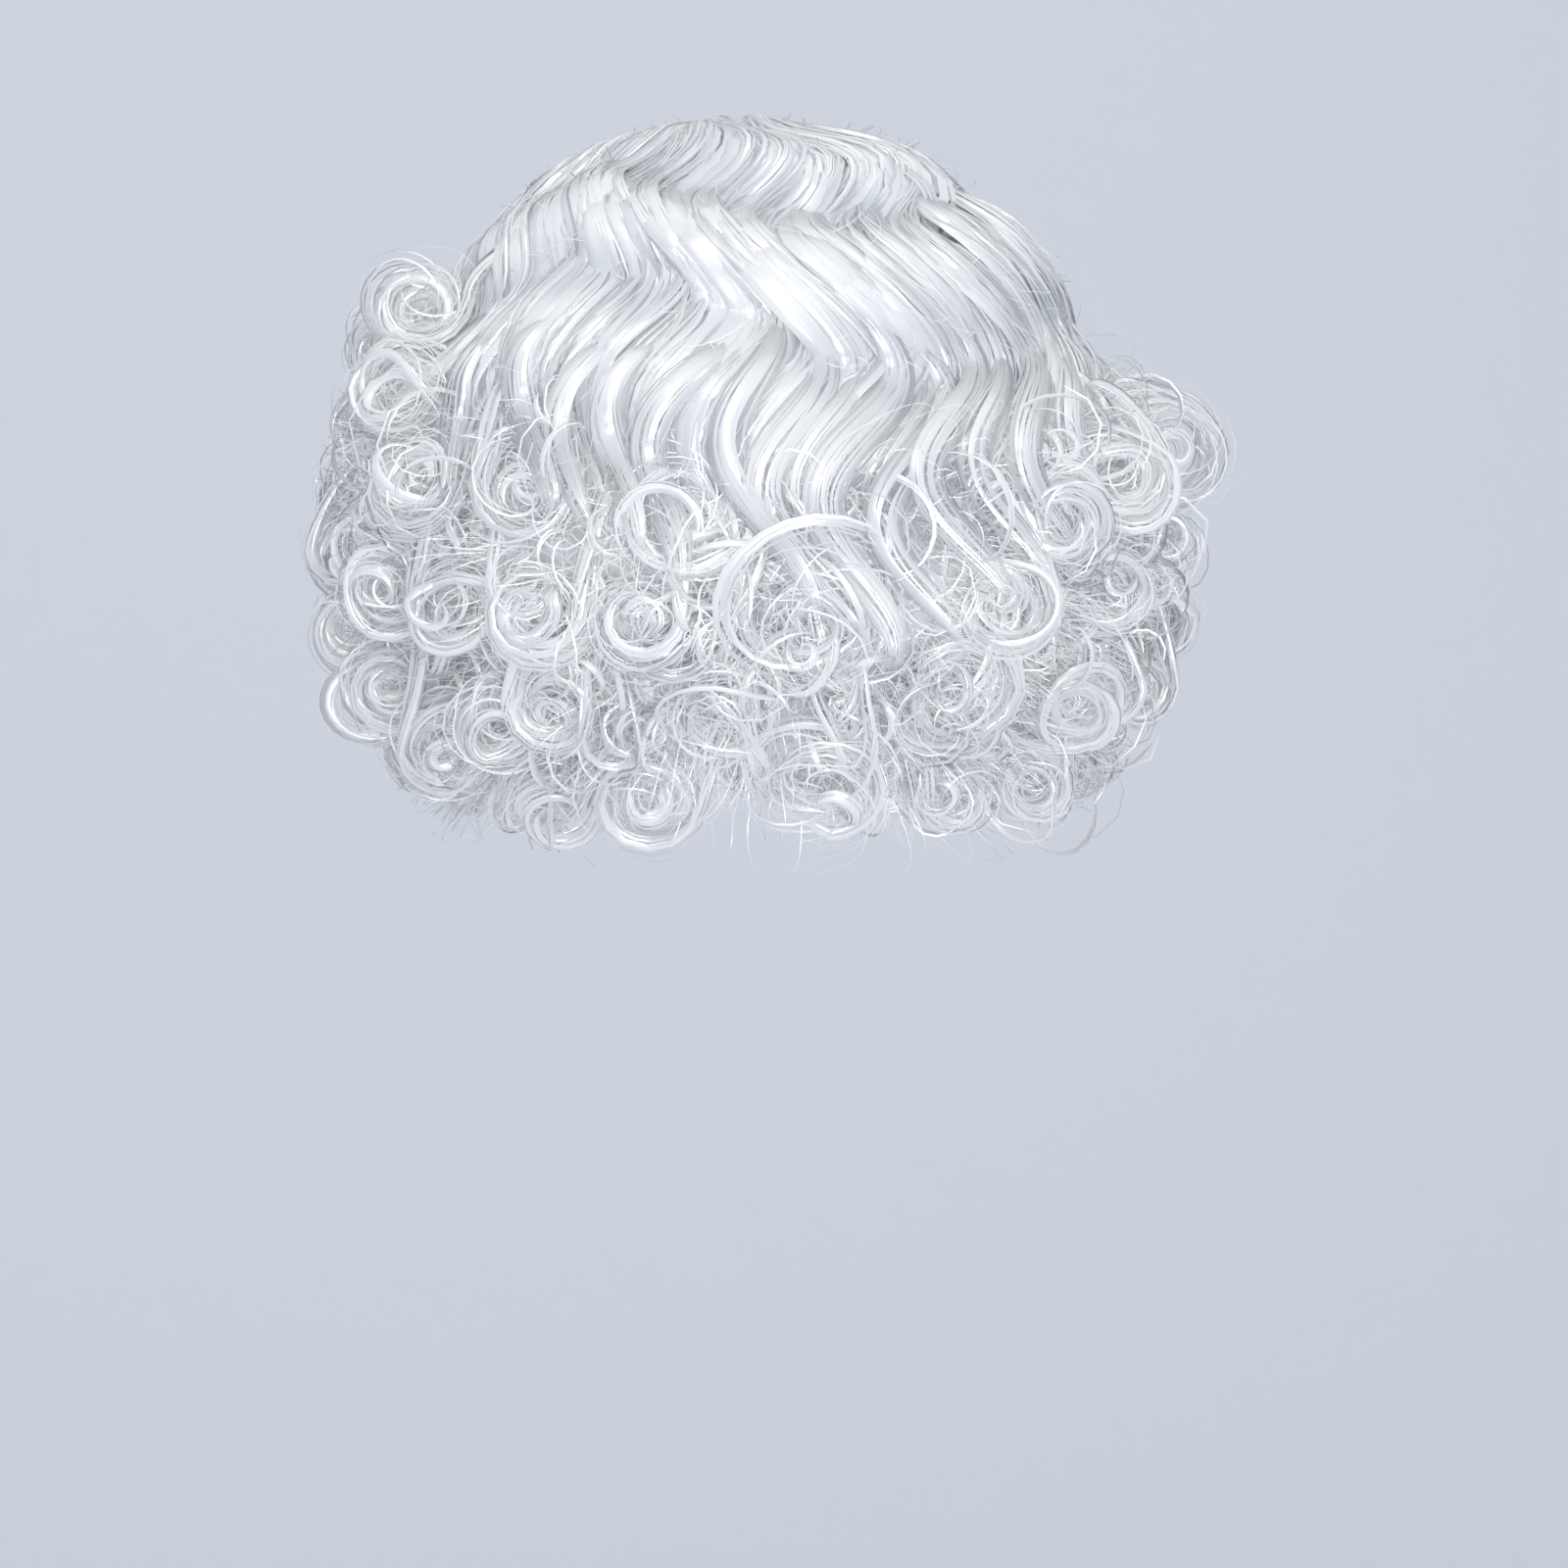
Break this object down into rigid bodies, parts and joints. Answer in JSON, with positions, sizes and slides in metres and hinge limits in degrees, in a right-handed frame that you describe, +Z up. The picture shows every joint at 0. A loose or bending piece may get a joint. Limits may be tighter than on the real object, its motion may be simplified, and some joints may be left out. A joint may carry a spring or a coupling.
{
  "type": "curly white wig",
  "caption": "Short white wig of synthetic hair: a finger-waved crown over a hollow cap, with banks of coiled locks round the back, sides and nape.",
  "frame": {"origin": "the point inside the cap that rests on the top of the head", "axes": "+Z up out of the crown, -Y towards the wearer's face, +X towards the wearer's left"},
  "size_m": [0.2949, 0.2586, 0.2291],
  "materials": {
    "hair": "white synthetic hair with a soft sheen",
    "net": "matt pale net cloth"
  },
  "bodies": {
    "root": {"cap": "net", "crown_waves": "hair", "right_temple_curls": "hair", "right_side_curls": "hair", "right_back_curls": "hair", "middle_back_curls": "hair", "left_back_curls": "hair", "left_side_curls": "hair", "left_temple_curls": "hair", "right_jaw_curls": "hair", "right_nape_curls": "hair", "middle_nape_curls": "hair", "left_nape_curls": "hair", "left_jaw_curls": "hair"}
  },
  "joints": []
}
